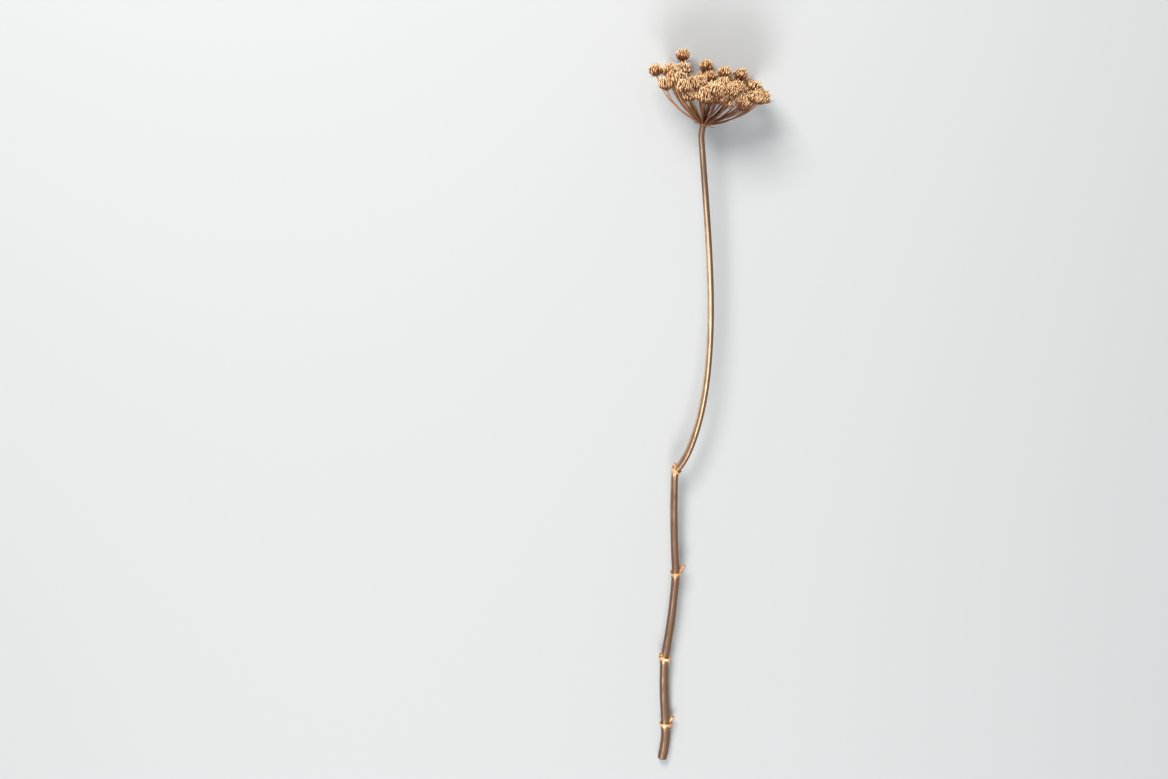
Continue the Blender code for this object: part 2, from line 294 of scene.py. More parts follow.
def stalk_radius(distance):
    """The stalk's plain radius at a distance from its cut: wide at the foot, thin at the neck."""
    return np.interp(
        distance,
        (0.0, WAIST_AT * stalk_length, stalk_length),
        (FOOT_RADIUS, WAIST_SHARE * FOOT_RADIUS, NECK_RADIUS),
    )


# How far a joint swells as a share of the radius, how far below the joint, and over what length.
SWELL, SWELL_BELOW, SWELL_OVER = 0.13, 1.5 * MM, 4.0 * MM
LEDGE, LEDGE_BELOW, LEDGE_OVER = 0.12, 0.8 * MM, 1.0 * MM
RIB_COUNT, RIB_DEPTH, RIB_TURN = 10, 0.03, 1.0
FINE_RIB_COUNT, FINE_RIB_DEPTH = 30, 0.011
RIBS_LOST, RIBS_LOST_AT = 0.6, 0.1
STRAIGHT_RADIUS = 4.0 * MM
WAVER, WAVER_SIZE, WAVER_STRETCH = 0.012, 2.5 * MM, np.array([1.0, 1.0, 0.15])
KNOBS, KNOBS_AT, KNOB_SIZE = 0.05, 0.08, 0.9 * MM

# Where along the stalk each thickness of paint is reached, and what is added to it.
PAINT_AT, PAINT_THERE = (0.0, 0.3, 0.6, 0.82, 0.93), (0.06, 0.2, 0.42, 0.38, -0.3)
SPRAYED_SIDE, SIDE_PAINT = 2.0, 0.22
# Lengthwise streaks: partly thicker and thinner paint, partly painted highlight lines.
STREAKS_AND_SHEEN, STREAK_SIZE, STREAK_STRETCH = 0.34, 1.2 * MM, np.array([1.0, 1.0, 0.012])
JOINT_PAINT, LEDGE_PAINT, BARE = 4.0, 0.6, -0.3

# The cut's rings: each one's share of the stalk's radius, and its depth. The inner three are pith.
CUT_SHARE = np.array([0.1, 0.4, 0.62, 0.86])[:, None, None]
CUT_SUNK = np.array([1.3, 1.1, 0.35, 0.02])[:, None, None] * MM
CUT_ROUGH, CUT_GRAIN, PITH_RINGS = 0.12 * MM, 0.5 * MM, 3


def bell(distance, below, over):
    """A smooth bump of height 1 below each joint, exp(-x * x), summed over the joints."""
    return np.exp(-(((distance + below) / over) ** 2)).sum(axis=1)


def stalk_rings():
    """The stalk's rings, its paint, its straightened coordinates and where it is pith.

    The radius is the plain one, times a swelling and a ledge at each joint (two bells), times ten
    ribs (1 - cos(10 a)) and thirty fine ones, a slow ripple and knobs at the joints. Four more
    rings turn in over the cut: a ring of wood, and a pith that has shrunk below it.
    """
    from_joint = stalk_distance[:, None] - joint_distance
    swell = SWELL * bell(from_joint, SWELL_BELOW, SWELL_OVER)
    ledge = LEDGE * bell(from_joint, LEDGE_BELOW, LEDGE_OVER)
    place = np.repeat(unit_circle(stalk_angle)[None] * STRAIGHT_RADIUS, len(stalk_line), axis=0)
    place[..., 2] = stalk_distance[:, None]
    fade = 1.0 - RIBS_LOST * np.minimum(1.0, swell / RIBS_LOST_AT)
    ribs = RIB_DEPTH * (1.0 - np.cos(RIB_COUNT * stalk_angle + RIB_TURN))
    ribs = ribs + FINE_RIB_DEPTH * (1.0 - np.cos(FINE_RIB_COUNT * stalk_angle))
    slow = WAVER * ripple(place * WAVER_STRETCH, WAVER_SIZE, seed=3)
    knobs = KNOBS * np.minimum(1.0, swell / KNOBS_AT)[:, None] * ripple(place, KNOB_SIZE, seed=4)
    shape = (1.0 + swell + ledge)[:, None] * (1.0 - ribs * fade[:, None] + slow + knobs)
    reach = stalk_radius(stalk_distance)[:, None] * shape
    hint = np.array([1.0, 0.0, 0.0])
    rings = carry(stalk_line[None], reach[None], STALK_SIDES, hint)[0]
    cover = np.interp(stalk_distance / stalk_length, PAINT_AT, PAINT_THERE)[:, None]
    cover = cover + SIDE_PAINT * np.cos(stalk_angle - SPRAYED_SIDE)
    # Streaks along the stalk, partly painted highlight.
    cover = cover + STREAKS_AND_SHEEN * ripple(place * STREAK_STRETCH, STREAK_SIZE, seed=5)
    cover = cover + JOINT_PAINT * (swell + LEDGE_PAINT * ledge)[:, None]
    rough = CUT_ROUGH * ripple(rings[:1] * CUT_SHARE, CUT_GRAIN, seed=6)[..., None]
    middle = stalk_line[0]
    cut = middle + (rings[0] - middle) * CUT_SHARE + stalk_along[0] * (CUT_SUNK + rough)
    cover = np.concatenate([np.full(cut.shape[:2], BARE), cover])
    straight = np.concatenate([place[:1] * CUT_SHARE, place])
    pith = np.zeros(cover.shape)
    pith[:PITH_RINGS] = 1.0
    return np.concatenate([cut, rings]), cover, straight, pith


BRONZE = ((0.12, 0.06, 0.032), (0.31, 0.19, 0.11), (0.86, 0.66, 0.43))
DRY_PITH = (0.46, 0.34, 0.2, 1.0)


def stalk_paint():
    """The stalk's paint, over brown plant, with pale pith in the cut."""
    material = painted("bronze paint on stalk", BRONZE, dull=0.28, relief=0.55, grain=0.7)
    wires = Wire(material.node_tree)
    shader = material.node_tree.nodes["Principled BSDF"]
    under = Wire(wires.tree, shader.inputs["Base Color"].links[0].from_socket)
    pith = wires.node("Attribute", {"attribute_name": "pith"}, {}, output=2)
    mixed = wires.node("Mix", {"data_type": "RGBA"}, {0: pith, 6: under, 7: DRY_PITH}, output=2)
    wires.feed(shader, {"Base Color": mixed})
    return material


rings, cover, straight, pith = stalk_rings()
skin(
    "stalk",
    rings[None],
    {"cover": cover[None], "straight": straight[None], "pith": pith[None]},
    stalk_paint(),
    "stem",
)


# The collars: the torn feet of the leaf sheaths, left round each joint of the stalk as a thin,
# ragged, crumpled ring. They stand proud, so they caught the most paint and are the brightest gold.

COLLAR_SIDES, COLLAR_PAINT = 48, 0.45
GOLD = ((0.2, 0.07, 0.022), (0.8, 0.45, 0.2), (1.0, 0.84, 0.56))

# Each ring of a collar: its height over the joint in mm, its radius as a share of the stalk's, and
# 1 where the torn rim lifts it.
COLLAR_RINGS = np.array(
    [
        (-3.0, 1.02, 0.0),
        (-2.0, 1.2, 0.0),
        (-1.0, 1.36, 0.0),
        (0.0, 1.4, 0.0),
        (0.0, 1.44, 1.0),
        (-0.05, 1.38, 1.0),
        (0.0, 1.2, 0.0),
        (-1.2, 1.05, 0.0),
    ]
)
TORN_LEAST, TORN_MORE, TORN_BIAS, TORN_MOST = 0.4, 0.5, 0.7, 2.0
TORN_POWER, TORN_SIZE = 1.5, 0.32
CREASE, CREASE_SIZE = 0.04, 0.16


def collar_rings():
    """Eight rings a collar: up its outer wall, over a torn rim and down its inner wall.

    The rim stands 0.4 to 1.8 mm above the joint, by the power 1.5 of a ripple round it.
    """
    angle = turns(COLLAR_SIDES)
    circle = unit_circle(angle)
    height, wide, lifted = (column[:, None] for column in COLLAR_RINGS.T)
    every = []
    for n, distance in enumerate(joint_distance):
        here = int(np.searchsorted(stalk_distance, distance))
        along = stalk_along[here]
        side = unit(np.cross(along, UP))
        other = np.cross(side, along)
        around = np.cos(angle)[:, None] * side - np.sin(angle)[:, None] * other
        jagged = np.clip(TORN_BIAS + ripple(circle, TORN_SIZE, seed=40 + n), 0.0, TORN_MOST)
        torn = TORN_LEAST + TORN_MORE * jagged**TORN_POWER
        crease = 1.0 + CREASE * ripple(circle, CREASE_SIZE, seed=50 + n)
        up = ((height + lifted * torn) * MM)[..., None]
        out = (stalk_radius(distance) * wide * crease)[..., None]
        every.append(stalk_line[here] + along * up + around * out)
    return np.array(every)


skin(
    "joint_collars",
    collar_rings(),
    {"cover": COLLAR_PAINT},
    painted("crumpled gold paint", GOLD, dull=0.38, relief=0.8),
    "stem",
)


# The stubs: what is left of a side branch at each joint, snapped off short. Each is a small ribbed
# tube with a splintered rim and a hollow end where the pith has gone.

STUB_LENGTHS = np.array([7.5, 4.5, 9.0, 5.5]) * MM
STUB_LEAN = math.radians(38)
STUB_SIDE, STUB_RISES = 0.9, (0.25, 0.55)
STUB_SIDES, STUB_ROWS, STUB_AIM = 20, 9, 4
STUB_SUNK, STUB_OUT, STUB_BURIED = 1.2 * MM, 0.35, 2.0 * MM
STUB_SHARE, STUB_FOOT, STUB_FOOT_FADE, STUB_FLARE = 0.4, 0.5, 6.0, 0.06
STUB_RIBS, STUB_RIB_DEPTH, STUB_WAVER, STUB_WAVER_SIZE = 5, 0.04, 0.03, 0.4
SPLINTER, SPLINTER_SIZE = 0.7 * MM, 0.2

# The rings inside the broken end: the share of the rim's radius, and the depth in mm.
STUB_HOLLOW = ((0.72, 0.2), (0.5, 1.6))

# The rows of a stub where each thickness of paint is reached: foot, shaft, rim and hollow.
STUB_PAINT_AT, STUB_PAINT = (0, 3, 8, 9, 10, 11), (0.5, 0.35, 0.4, 0.8, 0.0, -0.4)


def stub_rings():
    """Nine rings up each stub, then a splintered rim and two rings down inside it.

    The stub leaves its joint at 38 degrees to the stalk, to the right and left in turn. The stalk's
    direction is read four points above the joint. The stub's radius is 0.4 of the stalk's, times
    1 + 0.5 exp(-6 s) + 0.06 s, with s from its foot to its rim.
    """
    angle = turns(STUB_SIDES)
    circle = unit_circle(angle)
    s = np.linspace(0.0, 1.0, STUB_ROWS)
    taper = 1.0 + STUB_FOOT * np.exp(-STUB_FOOT_FADE * s) + STUB_FLARE * s
    every = []
    for n, distance in enumerate(joint_distance):
        here = int(np.searchsorted(stalk_distance, distance))
        along = stalk_along[here + STUB_AIM]
        side = unit(np.cross(along, UP)) * (-1) ** n
        lean = unit(side * STUB_SIDE + STUB_RISES[n % 2] * UP)
        way = along * math.cos(STUB_LEAN) + lean * math.sin(STUB_LEAN)
        radius = stalk_radius(distance)
        start = stalk_line[here] - along * STUB_SUNK + lean * STUB_OUT * radius
        path = start + np.outer(s * (STUB_LENGTHS[n] + STUB_BURIED), way)
        ribs = 1.0 - STUB_RIB_DEPTH * (1.0 - np.cos(STUB_RIBS * angle))
        ribs = ribs + STUB_WAVER * ripple(circle, STUB_WAVER_SIZE, seed=60 + n)
        wide = (STUB_SHARE * radius * taper)[:, None] * ribs
        tube = carry(path[None], wide[None], STUB_SIDES, lean)[0]
        splinter = (0.5 + 0.5 * ripple(circle, SPLINTER_SIZE, seed=70 + n)) * SPLINTER
        rim = tube[-1] + way * np.maximum(splinter, 0.0)[:, None]
        middle = path[-1]
        hollow = [
            middle + (tube[-1] - middle) * share - way * depth * MM
            for share, depth in STUB_HOLLOW
        ]
        every.append([*tube, rim, *hollow])
    return np.array(every)


rings = stub_rings()
skin(
    "branch_stubs",
    rings,
    {"cover": np.interp(np.arange(rings.shape[1]), STUB_PAINT_AT, STUB_PAINT)[:, None]},
    painted("gold paint on stubs", GOLD, dull=0.34, relief=0.6),
    "stem",
)


# The crown: the small fleshy button at the top of the stalk that every ray of the head grows from,
# dried hard and wrinkled between the rays.

COPPER = ((0.15, 0.05, 0.017), (0.46, 0.2, 0.075), (0.95, 0.66, 0.37))
CROWN_SIDES, CROWN_LOBES, CROWN_PAINT = 76, 19, 0.3
LOBE_DEPTH, WRINKLE, WRINKLE_SIZE = 0.045, 0.02, 0.3

# The crown's radius and height over the hub, in mm, from its underside to its top.
CROWN_PROFILE = np.array(
    [
        (2.3, -3.4),
        (2.8, -2.6),
        (3.5, -1.7),
        (4.2, -1.0),
        (4.45, -0.3),
        (4.2, 0.5),
        (3.1, 1.3),
        (1.6, 1.8),
    ]
)


def head_spokes(turn):
    """Unit vectors square to the head's axis, at the given turns about it."""
    return np.outer(np.cos(turn), head_level) + np.outer(np.sin(turn), head_up)


def crown_rings():
    """A profile of radius and height turned about the head's axis, with nineteen shallow lobes."""
    angle = turns(CROWN_SIDES)
    spokes = head_spokes(-angle)
    lobes = 1.0 + LOBE_DEPTH * np.cos(CROWN_LOBES * angle)
    lobes = lobes + WRINKLE * ripple(spokes, WRINKLE_SIZE, seed=7)
    radius, height = (column[:, None] for column in CROWN_PROFILE.T)
    return HUB + spokes * (radius * lobes * MM)[..., None] + (height * MM * head_axis)[:, None]


skin(
    "crown",
    crown_rings()[None],
    {"cover": CROWN_PAINT},
    painted("copper paint on crown", COPPER, dull=0.36, relief=0.6),
    "umbel",
)


# The rays: fifty-eight thin ribs that curve out and up from the crown like those of an umbrella,
# each ending in a small knob. The paint reached mostly their upper sides, and less near the crown.
# Their darker undersides and roots are partly painted shade.

RAY_COUNT = 58
GOLDEN_ANGLE = math.radians(137.50776)
FIRST_TURN, TURN_SCATTER, CHANCE_SEED = 5.43, 0.06, 13946
HEAD_RADIUS, HEAD_RISE, HEAD_DISH, RISE_SCATTER = 49.9 * MM, 35.7 * MM, 4.5 * MM, 3.5 * MM
PROUD_RAYS = {25: 7.0 * MM, 26: 4.0 * MM, 34: 4.0 * MM, 36: 17.0 * MM}
CLUSTER_RADIUS, CLUSTER_SHRINK, CLUSTER_GAP = 6.49 * MM, 0.07, 0.35 * MM
CLUSTER_SCATTER = (-0.05, 0.04)
SPREAD_ROUNDS, SPREAD_SHARE = 160, 0.3


def cluster_places():
    """Centre, radius, share of the head's radius and turn of each seed cluster.

    They start on a sunflower spiral over a shallow dish: share sqrt((i + 0.5) / n) of the radius at
    i golden angles. Then they are pushed apart until none touch, and up off the table.
    """
    draw = np.random.default_rng(CHANCE_SEED)
    index = np.arange(RAY_COUNT)
    share = np.sqrt((index + 0.5) / RAY_COUNT)
    turn = FIRST_TURN + index * GOLDEN_ANGLE + draw.normal(0.0, TURN_SCATTER, RAY_COUNT)
    radius = CLUSTER_RADIUS * (1.0 - CLUSTER_SHRINK * (1.0 - share))
    radius *= 1.0 + draw.uniform(*CLUSTER_SCATTER, RAY_COUNT)
    rise = HEAD_RISE - HEAD_DISH * (1.0 - share**2) + draw.normal(0.0, RISE_SCATTER, RAY_COUNT)
    for ray, proud in PROUD_RAYS.items():
        rise[ray] += proud
    out = head_spokes(turn)
    centre = HUB + out * (HEAD_RADIUS * share)[:, None] + np.outer(rise, head_axis)
    room = radius[:, None] + radius[None, :] + CLUSTER_GAP
    for _ in range(SPREAD_ROUNDS):
        apart = centre[:, None] - centre[None, :]
        far = np.linalg.norm(apart, axis=2) + np.eye(RAY_COUNT)
        push = np.clip(room - far, 0.0, None) * (1.0 - np.eye(RAY_COUNT))
        moved = (apart / far[:, :, None] * push[:, :, None]).sum(axis=1)
        centre = centre + SPREAD_SHARE * moved
        centre[:, 2] = np.maximum(centre[:, 2], radius)
    return centre, radius, share, turn


def bezier(start, first, second, end, share):
    """Cubic curves from start to end that leave towards first and arrive from second."""
    t = share[..., None]
    s = 1.0 - t
    return start * s**3 + 3 * first * s * s * t + 3 * second * s * t * t + end * t**3


RAY_LEAVE, RAY_LEAVE_POWER, RAY_END = math.radians(80), 0.9, math.radians(22)
RAY_ROOT_OUT, RAY_ROOT_ON, RAY_ROOT_SUNK = 2.4 * MM, 0.6 * MM, 0.4 * MM
RAY_PULL_ROOT, RAY_PULL_END = 0.36, 0.34
RAY_ROWS, RAY_SIDES, RAY_RADIUS, RAY_SEAM_IN = 22, 10, 0.68 * MM, 0.2
RAY_SHORT, RAY_SLACK = 0.82, 1.02
RAY_WAVER, RAY_WAVER_SIZE = 0.35 * MM, 9.0 * MM
ROOT_SWELL, ROOT_FADE, WAIST, KNOB, KNOB_FADE = 0.22, 8.0, 0.06, 0.75, 30.0
RAY_RIBS, RAY_RIB_DEPTH, RAY_THICKNESS = 5, 0.05, (0.88, 1.1)
# Paint from root to knob, then extra paint on the side facing up the head. The darker roots and
# undersides are partly painted shade.
RAY_PAINT_AT, RAY_PAINT = (0.0, 0.3, 1.0), (-0.08, 0.14, 0.22)
UPPER_PAINT_AND_SHADE, UPPER_SIDE, RAY_PAINT_SCATTER = 0.32, 0.9, 0.16
RAY_BLOTCH, RAY_BLOTCH_SIZE = 0.1, 6.0 * MM

cluster_centre, cluster_radius, ray_share, ray_turn = cluster_places()
ray_out = head_spokes(ray_turn)
leave = RAY_LEAVE * ray_share[:, None] ** RAY_LEAVE_POWER
arrive = RAY_END * ray_share[:, None]
ray_leaving = ray_out * np.sin(leave) + head_axis * np.cos(leave)
ray_ending = ray_out * np.sin(arrive) + head_axis * np.cos(arrive)
ray_along = np.linspace(0.0, 1.0, RAY_ROWS)


def ray_paths():
    """A curve for each ray, from the crown to just inside its seed cluster, with a slight waver."""
    flat = ray_leaving - head_axis * (ray_leaving @ head_axis)[:, None]
    start = HUB + flat * RAY_ROOT_OUT + ray_leaving * RAY_ROOT_ON - head_axis * RAY_ROOT_SUNK
    reach = np.linalg.norm(cluster_centre - start, axis=1)[:, None]
    stop = 1.0 - RAY_SHORT * cluster_radius / (RAY_SLACK * reach[:, 0])
    line = bezier(
        start[:, None],
        (start + ray_leaving * RAY_PULL_ROOT * reach)[:, None],
        (cluster_centre - ray_ending * RAY_PULL_END * reach)[:, None],
        cluster_centre[:, None],
        ray_along * stop[:, None],
    )
    seam = np.cross(ray_out, head_axis)[:, None]
    waver = RAY_WAVER * np.sin(math.pi * ray_along)[:, None]
    return line + seam * waver * ripple(line, RAY_WAVER_SIZE, seed=12)[..., None]


def ray_rings():
    """A ribbed tube along each ray's path, and its paint.

    The radius is the plain one times 1 + 0.22 exp(-8 s) - 0.06 sin(pi s) + 0.75 exp(-30 (1 - s)),
    with s from root to knob. Most of the paint lies on the side that faces up the head, and the
    underside is darker, partly as painted shade.
    """
    angle = turns(RAY_SIDES)
    swell = 1.0 + ROOT_SWELL * np.exp(-ROOT_FADE * ray_along) - WAIST * np.sin(math.pi * ray_along)
    swell = swell + KNOB * np.exp(-(1.0 - ray_along) * KNOB_FADE)
    ribs = 1.0 - RAY_RIB_DEPTH * (1.0 - np.cos(RAY_RIBS * angle))
    thick = np.random.default_rng(13).uniform(*RAY_THICKNESS, RAY_COUNT)[:, None, None]
    reach = RAY_RADIUS * thick * swell[:, None] * ribs
    rings = carry(ray_line, reach, RAY_SIDES, hint=head_axis - RAY_SEAM_IN * ray_out[:, None])
    chance = np.random.default_rng(15).normal(0.0, RAY_PAINT_SCATTER, (RAY_COUNT, 1, 1))
    cover = np.interp(ray_along, RAY_PAINT_AT, RAY_PAINT)[:, None]
    # Upper side brighter and underside darker, partly as painted shade.
    cover = cover + UPPER_PAINT_AND_SHADE * np.cos(angle + UPPER_SIDE) + chance
    return rings, cover + RAY_BLOTCH * ripple(rings, RAY_BLOTCH_SIZE, seed=14)


ray_line = ray_paths()
ray_tip = ray_line[:, -1]
rings, cover = ray_rings()
skin(
    "rays",
    rings,
    {"cover": cover},
    painted("copper paint on rays", COPPER, dull=0.27, relief=0.35),
    "umbel",
)


# The seed clusters' stalks: from the knob of each ray a spray of hair-thin stalks, one to a seed,
# that spread and turn up like the ribs of a cup. The paint hardly reached them.

SEEDS_EACH = 52
SEED_LENGTH, SEED_RADIUS, SEED_SIZES = 4.6 * MM, 0.74 * MM, (0.84, 1.1)
SEED_SPREAD, SEED_SCATTER = math.radians(96), 0.07
CLUSTER_TURN = 1.7
TIP_REACH, TIP_PROUD, TIP_PROUD_POWER, TIP_LIFT = 0.84, 0.3, 3, 0.12
BEND_OUT, BEND_DOWN = 1.16, 0.68
LINE_POINTS, TIP_POINTS = 25, 4
SEED_START_RANGE = (0.1, 0.9)
STALKLET_ROWS, STALKLET_SIDES, STALKLET_INTO_SEED = 5, 4, 0.04
STALKLET_RADIUS, STALKLET_ROOT, STALKLET_TAPER = 0.42 * MM, 1.1, 0.2
LOWEST = 0.12 * MM

# Two directions square to each ray's end and to each other, to turn things about the cluster with.
cluster_side = unit(np.cross(ray_ending, head_up))[:, None]
cluster_other = np.cross(ray_ending[:, None], cluster_side)


def seed_curves():
    """The line of every seed and its stalk, from the knob to the seed's tip, in 25 points.

    In a cluster the tips follow a spiral over a ball, from its top to 96 degrees down. Each line is
    (1-t)^2 knob + 2t(1-t) bend + t^2 tip, with the bend level with the ball's lower half and a
    little farther out than the tip, so that the outer lines make a cup and the inner ones stand up
    inside it.
    """
    draw = np.random.default_rng(21)
    index = np.arange(SEEDS_EACH)
    height = 1.0 - (1.0 - math.cos(SEED_SPREAD)) * (index + 0.5) / SEEDS_EACH
    around = index * GOLDEN_ANGLE + (ray_turn * CLUSTER_TURN)[:, None]
    top = ray_ending[:, None]
    flat = np.sqrt(1.0 - height**2)[:, None]
    out = cluster_side * np.cos(around)[..., None] + cluster_other * np.sin(around)[..., None]
    scatter = draw.normal(0.0, SEED_SCATTER, (RAY_COUNT, SEEDS_EACH, 3))
    way = unit(top * height[:, None] + out * flat + scatter)
    chance = draw.uniform(0.0, 1.0, (RAY_COUNT, SEEDS_EACH, 1))
    reach = cluster_radius[:, None, None] * (TIP_REACH + TIP_PROUD * chance**TIP_PROUD_POWER)
    tip = cluster_centre[:, None] + (way + TIP_LIFT * top) * reach
    bend = cluster_centre[:, None] + (out * flat * BEND_OUT - BEND_DOWN * top) * reach
    t = np.linspace(0.0, 1.0, LINE_POINTS)[:, None]
    line = ray_tip[:, None, None] * (1 - t) ** 2 + 2 * bend[:, :, None] * t * (1 - t)
    line = line + tip[:, :, None] * t**2
    line[..., 2] = np.maximum(line[..., 2], SEED_RADIUS)
    return line.reshape(-1, LINE_POINTS, 3)


def along_lines(lines, share):
    """Points at the given shares of each line's length, read off between the line's own points."""
    steps = np.linalg.norm(np.diff(lines, axis=1), axis=2)
    run = np.concatenate([np.zeros((len(lines), 1)), steps.cumsum(axis=1)], axis=1)
    wanted = share * run[:, -1:]
    before = (run[:, None, 1:-1] <= wanted[:, :, None]).sum(axis=2)
    row = np.arange(len(lines))[:, None]
    past = ((wanted - run[row, before]) / steps[row, before])[..., None]
    return lines[row, before] * (1.0 - past) + lines[row, before + 1] * past


def off_table(rings):
    """The same rings, held just clear of the table, because the lowest seeds are pressed on it."""
    rings[..., 2] = np.maximum(rings[..., 2], LOWEST)
    return rings


seed_line = seed_curves()
seed_count = len(seed_line)
seed_size = np.random.default_rng(22).uniform(*SEED_SIZES, (seed_count, 1))
line_length = np.linalg.norm(np.diff(seed_line, axis=1), axis=2).sum(axis=1, keepdims=True)
seed_start = np.clip(1.0 - SEED_LENGTH * seed_size / line_length, *SEED_START_RANGE)
seed_tip = seed_line[:, -1]
seed_lean = unit(seed_tip - seed_line[:, -1 - TIP_POINTS])


def stalklet_rings():
    """A thread along each seed's line, from the knob to a little way into the seed."""
    t = np.linspace(0.0, 1.0, STALKLET_ROWS)
    line = along_lines(seed_line, t * (seed_start + STALKLET_INTO_SEED))
    reach = STALKLET_RADIUS * (STALKLET_ROOT - STALKLET_TAPER * t)
    reach = np.broadcast_to(reach[:, None], (seed_count, STALKLET_ROWS, STALKLET_SIDES))
    return off_table(carry(line, reach, STALKLET_SIDES, hint=np.array([0.3, 0.2, 0.93])))


skin(
    "seed_stalks",
    stalklet_rings(),
    {"cover": np.linspace(-0.05, 0.25, STALKLET_ROWS)[:, None]},
    painted("thin copper paint", COPPER, dull=0.42, relief=0.2),
    "umbel",
)


# The seeds: small ribbed grains that stand side by side in each cluster, curved like its cup. They
# carry the thickest gold on their tips, and stay brown at the bottom of the cup and in their
# grooves. That brown is partly painted shade in the cup and between the grains.

SEED_SIDES, SEED_GROOVE = 10, 0.76
# Less paint on the sunk sides of a seed, partly painted shade between the grains, and a chance per
# seed.
GROOVE_BARE_AND_SHADE, SEED_PAINT_SCATTER = 0.34, 0.1

# Each ring of a seed: how far along it stands, its share of the full radius, and its paint, which
# is darker towards the foot, partly as painted shade.
SEED_RINGS = np.array(
    [
        (0.0, 0.35, -0.15),
        (0.25, 0.85, 0.1),
        (0.55, 1.0, 0.45),
        (0.82, 0.8, 0.8),
        (1.0, 0.2, 1.0),
    ]
)
seed_along, seed_bulge, seed_cover_and_shade = SEED_RINGS.T
sunk_side = np.arange(SEED_SIDES) % 2


def seed_rings(rows):
    """Grains of five rings and ten sides along the ends of their lines, every second side sunk."""
    start = seed_start[rows]
    line = along_lines(seed_line[rows], start + (1.0 - start) * seed_along)
    ribs = np.where(sunk_side, SEED_GROOVE, 1.0)
    reach = SEED_RADIUS * seed_size[rows][..., None] * seed_bulge[:, None] * ribs
    return off_table(carry(line, reach, SEED_SIDES, hint=np.array([0.2, 0.9, 0.4])))


seed_paint = painted("gold paint on seeds", GOLD, dull=0.27, relief=0.25)
chance = np.random.default_rng(31).normal(0.0, SEED_PAINT_SCATTER, seed_count)[:, None, None]
# Each seed's paint: darker at its foot and in its grooves, partly as painted shade.
cover = seed_cover_and_shade[:, None] - GROOVE_BARE_AND_SHADE * sunk_side + chance
half = seed_count // 2
for name, rows in (("inner_seeds", slice(0, half)), ("rim_seeds", slice(half, seed_count))):
    skin(name, seed_rings(rows), {"cover": cover[rows]}, seed_paint, "umbel")


# The styles: two stiff bristles on the tip of every seed, left from the flower. They stand out from
# the cluster, so they took the paint well and catch the light.

STYLE_SPREAD, STYLE_SUNK, STYLE_SIDES, STYLE_PAINT = 0.45, 0.3 * MM, 3, 0.8
STYLE_LENGTH, STYLE_LENGTHS = 1.2 * MM, (0.4, 1.2)
STYLE_ROWS, STYLE_RADII = np.array([0.0, 0.5, 1.0]), np.array([0.12, 0.1, 0.04]) * MM


def style_rings():
    """Two tapering threads from each seed's tip, spread to either side of the seed's own line."""
    draw = np.random.default_rng(41)
    apart = STYLE_SPREAD * unit(np.cross(seed_lean, draw.normal(size=seed_lean.shape)))
    ways = np.concatenate([seed_lean + apart, seed_lean - apart])
    start = np.tile(seed_tip - seed_lean * STYLE_SUNK, (2, 1))
    length = STYLE_LENGTH * draw.uniform(*STYLE_LENGTHS, (len(ways), 1, 1))
    line = start[:, None] + ways[:, None] * length * STYLE_ROWS[:, None]
    reach = np.broadcast_to(STYLE_RADII[:, None], (*line.shape[:2], STYLE_SIDES))
    return off_table(carry(line, reach, STYLE_SIDES, hint=np.array([0.5, 0.3, 0.8])))


skin(
    "styles",
    style_rings(),
    {"cover": STYLE_PAINT},
    painted("bright gold paint", GOLD, dull=0.3, relief=0.1),
    "umbel",
)


# The bractlets: six hair-like leaves under each seed cluster, dried into thin curls that stick out
# past the seeds.

BRACTLETS_EACH, BRACTLET_SCATTER = 6, 0.9
BRACTLET_LENGTHS = (4.0 * MM, 14.0 * MM)
BRACTLET_DROOP, BRACTLET_RISE, BRACTLET_RISE_MORE = 0.3, 0.25, 0.9
BRACTLET_ROWS, BRACTLET_SIDES = 7, 3
BRACTLET_RADIUS, BRACTLET_TAPER = 0.34 * MM, 0.22 * MM


def bractlet_rings():
    """Threads that leave each ray's knob sideways, droop a little and curl up towards their ends.

    They rise by -0.3 t + (0.25 to 1.15) t^2 of their length, with t from root to tip.
    """
    draw = np.random.default_rng(51)
    shape = (RAY_COUNT, BRACTLETS_EACH, 1)
    place = np.arange(BRACTLETS_EACH)[:, None] + draw.uniform(0.0, BRACTLET_SCATTER, shape)
    around = 2.0 * math.pi * place / BRACTLETS_EACH
    out = cluster_side * np.cos(around) + cluster_other * np.sin(around)
    length = draw.uniform(*BRACTLET_LENGTHS, shape)
    rise = draw.uniform(0.0, BRACTLET_RISE_MORE, shape)[..., None] + BRACTLET_RISE
    t = np.linspace(0.0, 1.0, BRACTLET_ROWS)[:, None]
    lift = ray_ending[:, None, None] * (rise * t**2 - BRACTLET_DROOP * t)
    line = ray_tip[:, None, None] + length[..., None] * (out[:, :, None] * t + lift)
    line = line.reshape(-1, BRACTLET_ROWS, 3)
    reach = BRACTLET_RADIUS - BRACTLET_TAPER * t
    reach = np.broadcast_to(reach, (*line.shape[:2], BRACTLET_SIDES))
    return off_table(carry(line, reach, BRACTLET_SIDES, hint=np.array([0.1, 0.35, 0.9])))


skin(
    "bractlets",
    bractlet_rings(),
    {"cover": np.linspace(0.0, 0.3, BRACTLET_ROWS)[:, None]},
    painted("gold paint on bractlets", GOLD, dull=0.34, relief=0.1),
    "umbel",
)


# The bracts: seven larger thread-like leaves that spread from under the crown, forked near their
# middles and mostly broken short.

